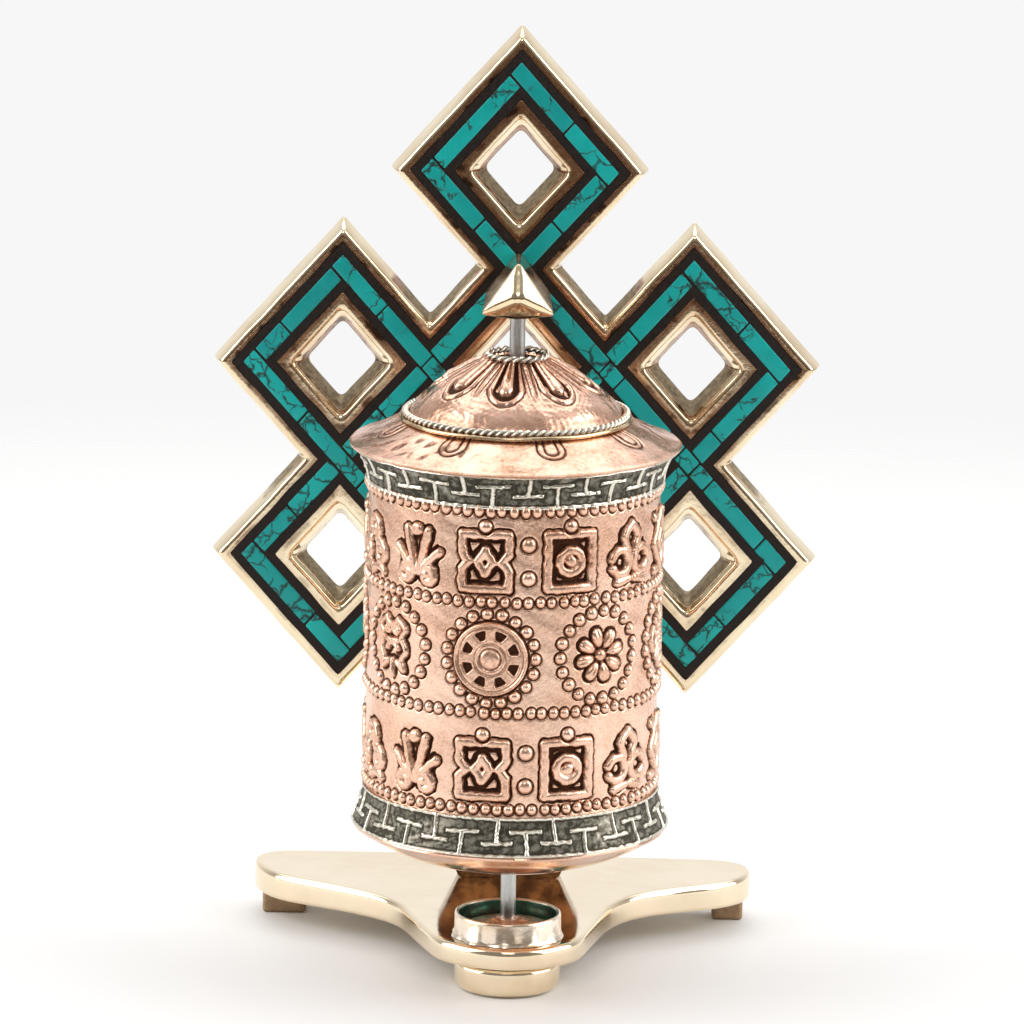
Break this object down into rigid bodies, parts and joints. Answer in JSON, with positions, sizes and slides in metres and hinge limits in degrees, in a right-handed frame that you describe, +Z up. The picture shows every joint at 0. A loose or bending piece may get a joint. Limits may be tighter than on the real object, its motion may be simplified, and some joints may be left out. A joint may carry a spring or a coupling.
{
  "type": "prayer wheel",
  "caption": "Tabletop prayer wheel: an embossed copper drum spinning on an upright spindle held by a brass base and the arm of a turquoise-inlaid endless-knot panel.",
  "frame": {"origin": "where the spindle's axis meets the table, at the underside of the round front foot", "axes": "+Z up along the spindle; +Y back towards the knot panel; +X to the right seen from the front"},
  "size_m": [0.122, 0.0963, 0.1848],
  "materials": {
    "brass": "polished cast brass with brown tarnish in the recesses",
    "rough_brass": "unpolished, as cast, brown",
    "copper": "repousse copper sheet, polished highs and dark patina in the recesses",
    "white_metal": "aged white metal with a dark ground",
    "steel": "plain drawn steel rod",
    "turquoise": "polished flat stone with dark veins",
    "black_lac": "black lac filling, rubbed flush",
    "paper": "tightly rolled plain paper"
  },
  "bodies": {
    "stand": {"base_plate": "brass", "front_foot": "brass", "rear_foot_left": "rough_brass", "rear_foot_right": "rough_brass", "under_block": "rough_brass", "spindle_cup": "brass", "spindle_seat": "copper", "spindle": "steel", "thrust_collar": "steel", "knot_frame": "brass", "inlay_bed": "black_lac", "inlay_over_1": "turquoise", "inlay_over_2": "turquoise", "inlay_over_3": "turquoise", "inlay_over_4": "turquoise", "inlay_over_5": "turquoise", "inlay_over_6": "turquoise", "inlay_over_7": "turquoise", "inlay_under_1": "turquoise", "inlay_under_2": "turquoise", "inlay_under_3": "turquoise", "inlay_under_4": "turquoise", "inlay_under_5": "turquoise", "inlay_under_6": "turquoise", "inlay_under_7": "turquoise", "inlay_under_8": "turquoise", "inlay_under_9": "turquoise", "inlay_under_10": "turquoise", "inlay_under_11": "turquoise", "inlay_under_12": "turquoise", "inlay_under_13": "turquoise", "inlay_under_14": "turquoise", "inlay_under_15": "turquoise", "inlay_under_16": "turquoise", "top_arm": "brass"},
    "drum": {"drum_shell": "copper", "upper_band": "white_metal", "lower_band": "white_metal", "lid_brim": "copper", "lid_cone": "copper", "rope_ring_large": "white_metal", "plain_ring_large": "brass", "neck_ring": "white_metal", "bottom_cap": "copper", "bottom_bush": "brass", "top_bush": "brass", "top_plate": "copper", "inner_tube": "brass", "mantra_roll": "paper"}
  },
  "joints": [
    {"name": "drum_spin", "type": "hinge", "parent": "stand", "child": "drum", "pos_m": [0, 0, 0], "axis": [0, 0, 1], "continuous": true}
  ]
}
